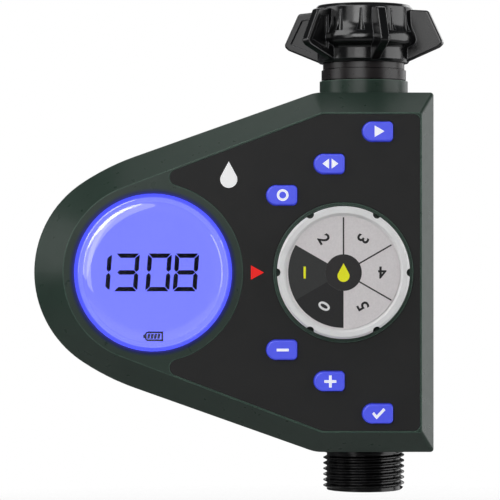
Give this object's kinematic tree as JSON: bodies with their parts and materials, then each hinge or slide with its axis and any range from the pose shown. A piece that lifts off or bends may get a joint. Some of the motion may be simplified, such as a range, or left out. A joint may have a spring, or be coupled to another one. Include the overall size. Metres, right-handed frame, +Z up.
{
  "type": "drip irrigation timer",
  "caption": "Garden tap water timer: egg-shaped green housing with round display, program dial and keys, winged swivel nut above and hose thread below.",
  "frame": {"origin": "centre of the inlet nut's bore at the inner end of its thread, on the water axis", "axes": "+Z up along the water way towards the tap, -Y out of the control face towards the user, +X away from the display"},
  "size_m": [0.1318, 0.0651, 0.1579],
  "materials": {
    "housing_green": "fine moulded texture",
    "panel_black": "satin printed plate",
    "nut_black": "glossy glass-filled nylon",
    "collar_brown": "satin",
    "valve_black": "glossy glass-filled nylon",
    "button_blue": "backlit translucent plastic",
    "lens_clear": "clear polished plastic",
    "lcd_glass": "polarised glass",
    "backlight_blue": "diffusing light guide",
    "dial_grey": "satin light grey",
    "dial_print": "printed film",
    "arrow_red": "glossy red",
    "seal_rubber": "smooth",
    "silicone_grey": "matt silicone",
    "board_green": "solder mask",
    "chip_black": "moulded epoxy",
    "socket_white": "nylon",
    "frame_white": "moulded",
    "inner_white": "moulded acetal",
    "screw_steel": "zinc plated",
    "spring_steel": "bright drawn wire",
    "contact_brass": "bright",
    "coil_copper": "enamelled copper winding",
    "screen_steel": "perforated",
    "tray_black": "moulded",
    "cell_wrap": "printed sleeve",
    "wire_insulation": "pvc"
  },
  "bodies": {
    "housing": {"front_housing": "housing_green", "rear_housing": "housing_green", "housing_gasket": "seal_rubber", "housing_screws": "screw_steel", "control_panel": "panel_black", "pointer_arrow": "arrow_red", "display_lens": "lens_clear", "lens_gasket": "seal_rubber", "lcd_glass": "lcd_glass", "lcd_backlight": "backlight_blue", "lcd_connector": "silicone_grey", "lcd_frame": "frame_white", "dial_seal": "seal_rubber", "detent_spring": "spring_steel", "keypad_membrane": "silicone_grey", "main_board": "board_green", "board_screws": "screw_steel", "board_chips": "chip_black", "wire_sockets": "socket_white", "valve_body": "valve_black", "inlet_collar": "collar_brown", "inlet_tailpiece": "valve_black", "inlet_washer": "seal_rubber", "filter_screen": "screen_steel", "diaphragm": "seal_rubber", "poppet_spring": "spring_steel", "valve_bonnet": "valve_black", "bonnet_screws": "screw_steel", "solenoid_bobbin": "inner_white", "solenoid_coil": "coil_copper", "solenoid_yoke": "screw_steel", "plunger_spring": "spring_steel", "solenoid_wires": "wire_insulation", "bay_contacts": "contact_brass", "battery_wires": "wire_insulation"},
    "swivel_nut": {"inlet_nut": "nut_black"},
    "dial": {"dial_knob": "dial_grey", "dial_face": "dial_print", "dial_clip": "spring_steel", "detent_wheel": "inner_white", "dial_wiper": "contact_brass"},
    "battery_drawer": {"battery_tray": "tray_black", "tray_gasket": "seal_rubber", "battery_cells": "cell_wrap", "battery_springs": "spring_steel", "contact_plates": "contact_brass"},
    "plunger": {"solenoid_plunger": "screw_steel", "plunger_seal": "seal_rubber"},
    "poppet": {"valve_poppet": "inner_white"},
    "key_man": {"button_man": "button_blue"},
    "key_lr": {"button_lr": "button_blue"},
    "key_eco": {"button_eco": "button_blue"},
    "key_minus": {"button_minus": "button_blue"},
    "key_plus": {"button_plus": "button_blue"},
    "key_ok": {"button_ok": "button_blue"}
  },
  "joints": [
    {"name": "nut_swivel", "type": "hinge", "parent": "housing", "child": "swivel_nut", "pos_m": [0, 0, 0], "axis": [0, 0, 1], "continuous": true},
    {"name": "dial_turn", "type": "hinge", "parent": "housing", "child": "dial", "pos_m": [-0.0078, -0.0342, -0.0754], "axis": [0, -1, 0], "continuous": true, "deforming": ["detent_spring"]},
    {"name": "drawer_slide", "type": "slide", "parent": "housing", "child": "battery_drawer", "axis": [0, 1, 0], "range_m": [0, 0.022]},
    {"name": "plunger_slide", "type": "slide", "parent": "housing", "child": "plunger", "axis": [-1, 0, 0], "range_m": [0, 0.002], "stiffness_N_per_m": 300, "springref_m": -0.001, "deforming": ["plunger_spring"]},
    {"name": "poppet_lift", "type": "slide", "parent": "housing", "child": "poppet", "axis": [-1, 0, 0], "range_m": [0, 0.002], "stiffness_N_per_m": 400, "springref_m": -0.002, "deforming": ["diaphragm", "poppet_spring"]},
    {"name": "press_man", "type": "slide", "parent": "housing", "child": "key_man", "axis": [0, 1, 0], "range_m": [0, 0.0008], "stiffness_N_per_m": 900, "springref_m": -0.0004, "deforming": ["keypad_membrane"]},
    {"name": "press_lr", "type": "slide", "parent": "housing", "child": "key_lr", "axis": [0, 1, 0], "range_m": [0, 0.0008], "stiffness_N_per_m": 900, "springref_m": -0.0004, "deforming": ["keypad_membrane"]},
    {"name": "press_eco", "type": "slide", "parent": "housing", "child": "key_eco", "axis": [0, 1, 0], "range_m": [0, 0.0008], "stiffness_N_per_m": 900, "springref_m": -0.0004, "deforming": ["keypad_membrane"]},
    {"name": "press_minus", "type": "slide", "parent": "housing", "child": "key_minus", "axis": [0, 1, 0], "range_m": [0, 0.0008], "stiffness_N_per_m": 900, "springref_m": -0.0004, "deforming": ["keypad_membrane"]},
    {"name": "press_plus", "type": "slide", "parent": "housing", "child": "key_plus", "axis": [0, 1, 0], "range_m": [0, 0.0008], "stiffness_N_per_m": 900, "springref_m": -0.0004, "deforming": ["keypad_membrane"]},
    {"name": "press_ok", "type": "slide", "parent": "housing", "child": "key_ok", "axis": [0, 1, 0], "range_m": [0, 0.0008], "stiffness_N_per_m": 900, "springref_m": -0.0004, "deforming": ["keypad_membrane"]}
  ]
}
